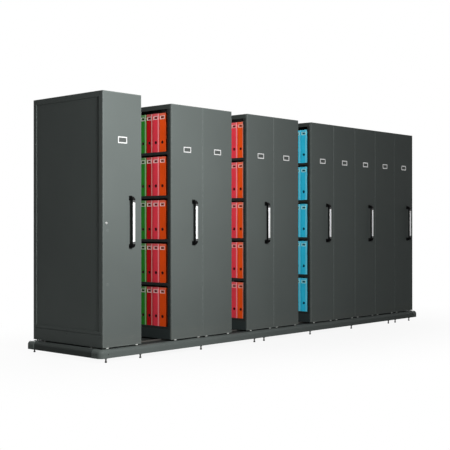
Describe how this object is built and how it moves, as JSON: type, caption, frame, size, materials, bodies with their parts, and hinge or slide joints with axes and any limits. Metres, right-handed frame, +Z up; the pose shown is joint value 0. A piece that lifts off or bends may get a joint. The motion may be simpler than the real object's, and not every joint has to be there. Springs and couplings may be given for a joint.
{
  "type": "compact mobile shelving",
  "caption": "Row of wheeled filing shelves that roll on a railed floor base and close up against a fixed end unit, with pull handles, a key lock and coloured binders.",
  "frame": {"origin": "middle of the whole object's plan, on the floor", "axes": "+X along the rails from the lock unit to the fixed end unit, +Y from the handle side to the rear, +Z up"},
  "size_m": [4.794, 1.012, 2.187],
  "materials": {
    "sill_coat": "satin powder coat",
    "cap_plastic": "black moulded plastic",
    "rail_steel": "bright drawn steel",
    "member_coat": "dark primer",
    "deck_coat": "dark textured coat",
    "foot_steel": "blackened steel",
    "stop_rubber": "black rubber",
    "panel_coat": "anthracite powder coat",
    "side_coat": "dark anthracite powder coat",
    "frame_coat": "dark anthracite powder coat",
    "shelf_coat": "dark anthracite powder coat",
    "chassis_coat": "black-grey coat",
    "wheel_steel": "turned treads on grey iron",
    "grip_plastic": "black grip with a bright strip",
    "label_metal": "satin",
    "lock_chrome": "polished",
    "rod_steel": "zinc plated",
    "binder_warm": "coated board in red, orange, crimson and green",
    "binder_blue": "coated board in blue"
  },
  "bodies": {
    "base": {"base_sills": "sill_coat", "corner_caps": "cap_plastic", "track_rails": "rail_steel", "cross_members": "member_coat", "deck_panels": "deck_coat", "levelling_feet": "foot_steel", "rail_stops": "stop_rubber", "unit6_plinth": "chassis_coat", "unit6_frame": "frame_coat", "unit6_shelves": "shelf_coat", "unit6_panels": "panel_coat", "unit6_side_panel": "side_coat", "unit6_handle": "grip_plastic", "unit6_label_holders": "label_metal"},
    "unit1": {"unit1_chassis": "chassis_coat", "unit1_frame": "frame_coat", "unit1_shelves": "shelf_coat", "unit1_panels": "panel_coat", "unit1_handle": "grip_plastic", "unit1_label_holders": "label_metal", "unit1_side_panel": "side_coat"},
    "unit2": {"unit2_chassis": "chassis_coat", "unit2_frame": "frame_coat", "unit2_shelves": "shelf_coat", "unit2_panels": "panel_coat", "unit2_handle": "grip_plastic", "unit2_label_holders": "label_metal", "unit2_binders": "binder_warm"},
    "unit3": {"unit3_chassis": "chassis_coat", "unit3_frame": "frame_coat", "unit3_shelves": "shelf_coat", "unit3_panels": "panel_coat", "unit3_handle": "grip_plastic", "unit3_label_holders": "label_metal", "unit3_binders": "binder_warm"},
    "unit4": {"unit4_chassis": "chassis_coat", "unit4_frame": "frame_coat", "unit4_shelves": "shelf_coat", "unit4_panels": "panel_coat", "unit4_handle": "grip_plastic", "unit4_label_holders": "label_metal", "unit4_binders": "binder_blue"},
    "unit5": {"unit5_chassis": "chassis_coat", "unit5_frame": "frame_coat", "unit5_shelves": "shelf_coat", "unit5_panels": "panel_coat", "unit5_handle": "grip_plastic", "unit5_label_holders": "label_metal"},
    "unit1_wheelset_left": {"unit1_wheelset_left": "wheel_steel"},
    "unit1_wheelset_right": {"unit1_wheelset_right": "wheel_steel"},
    "unit2_wheelset_left": {"unit2_wheelset_left": "wheel_steel"},
    "unit2_wheelset_right": {"unit2_wheelset_right": "wheel_steel"},
    "unit3_wheelset_left": {"unit3_wheelset_left": "wheel_steel"},
    "unit3_wheelset_right": {"unit3_wheelset_right": "wheel_steel"},
    "unit4_wheelset_left": {"unit4_wheelset_left": "wheel_steel"},
    "unit4_wheelset_right": {"unit4_wheelset_right": "wheel_steel"},
    "unit5_wheelset_left": {"unit5_wheelset_left": "wheel_steel"},
    "unit5_wheelset_right": {"unit5_wheelset_right": "wheel_steel"},
    "lock_cylinder": {"lock_cylinder": "lock_chrome"},
    "lock_rod": {"lock_rod": "rod_steel"}
  },
  "joints": [
    {"name": "unit1_travel", "type": "slide", "parent": "base", "child": "unit1", "axis": [1, 0, 0], "range_m": [0, 0.345]},
    {"name": "unit2_travel", "type": "slide", "parent": "base", "child": "unit2", "axis": [1, 0, 0], "range_m": [-0.345, 0.215]},
    {"name": "unit3_travel", "type": "slide", "parent": "base", "child": "unit3", "axis": [1, 0, 0], "range_m": [-0.215, 0.207]},
    {"name": "unit5_travel", "type": "slide", "parent": "base", "child": "unit5", "axis": [1, 0, 0], "range_m": [-0.207, 0]},
    {"name": "unit4_travel", "type": "slide", "parent": "unit5", "child": "unit4", "axis": [1, 0, 0], "range_m": [-0.207, 0]},
    {"name": "unit1_left_wheels_turn", "type": "hinge", "parent": "unit1", "child": "unit1_wheelset_left", "pos_m": [-2.233, 0, 0.1483], "axis": [0, 1, 0], "continuous": true},
    {"name": "unit1_right_wheels_turn", "type": "hinge", "parent": "unit1", "child": "unit1_wheelset_right", "pos_m": [-2.006, 0, 0.1483], "axis": [0, 1, 0], "continuous": true},
    {"name": "unit2_left_wheels_turn", "type": "hinge", "parent": "unit2", "child": "unit2_wheelset_left", "pos_m": [-1.497, 0, 0.1483], "axis": [0, 1, 0], "continuous": true},
    {"name": "unit2_right_wheels_turn", "type": "hinge", "parent": "unit2", "child": "unit2_wheelset_right", "pos_m": [-0.883, 0, 0.1483], "axis": [0, 1, 0], "continuous": true},
    {"name": "unit3_left_wheels_turn", "type": "hinge", "parent": "unit3", "child": "unit3_wheelset_left", "pos_m": [-0.504, 0, 0.1483], "axis": [0, 1, 0], "continuous": true},
    {"name": "unit3_right_wheels_turn", "type": "hinge", "parent": "unit3", "child": "unit3_wheelset_right", "pos_m": [0.11, 0, 0.1483], "axis": [0, 1, 0], "continuous": true},
    {"name": "unit4_left_wheels_turn", "type": "hinge", "parent": "unit4", "child": "unit4_wheelset_left", "pos_m": [0.481, 0, 0.1483], "axis": [0, 1, 0], "continuous": true},
    {"name": "unit4_right_wheels_turn", "type": "hinge", "parent": "unit4", "child": "unit4_wheelset_right", "pos_m": [1.095, 0, 0.1483], "axis": [0, 1, 0], "continuous": true},
    {"name": "unit5_left_wheels_turn", "type": "hinge", "parent": "unit5", "child": "unit5_wheelset_left", "pos_m": [1.259, 0, 0.1483], "axis": [0, 1, 0], "continuous": true},
    {"name": "unit5_right_wheels_turn", "type": "hinge", "parent": "unit5", "child": "unit5_wheelset_right", "pos_m": [1.873, 0, 0.1483], "axis": [0, 1, 0], "continuous": true},
    {"name": "lock_turn", "type": "hinge", "parent": "unit1", "child": "lock_cylinder", "pos_m": [-2.306, -0.457, 1.121], "axis": [0, 1, 0], "range_deg": [0, 90]},
    {"name": "lock_rod_drop", "type": "slide", "parent": "unit1", "child": "lock_rod", "axis": [0, 0, -1], "range_m": [0, 0.02262]}
  ],
  "couplings": [
    {"joint": "unit1_left_wheels_turn", "follows": "unit1_travel", "rad_per_m": 27.778},
    {"joint": "unit1_right_wheels_turn", "follows": "unit1_travel", "rad_per_m": 27.778},
    {"joint": "unit2_left_wheels_turn", "follows": "unit2_travel", "rad_per_m": 27.778},
    {"joint": "unit2_right_wheels_turn", "follows": "unit2_travel", "rad_per_m": 27.778},
    {"joint": "unit3_left_wheels_turn", "follows": "unit3_travel", "rad_per_m": 27.778},
    {"joint": "unit3_right_wheels_turn", "follows": "unit3_travel", "rad_per_m": 27.778},
    {"joint": "unit4_left_wheels_turn", "follows": "unit4_travel", "rad_per_m": 27.778},
    {"joint": "unit4_right_wheels_turn", "follows": "unit4_travel", "rad_per_m": 27.778},
    {"joint": "unit5_left_wheels_turn", "follows": "unit5_travel", "rad_per_m": 27.778},
    {"joint": "unit5_right_wheels_turn", "follows": "unit5_travel", "rad_per_m": 27.778},
    {"joint": "lock_turn", "follows": "lock_rod_drop", "rad_per_m": 69.42}
  ]
}
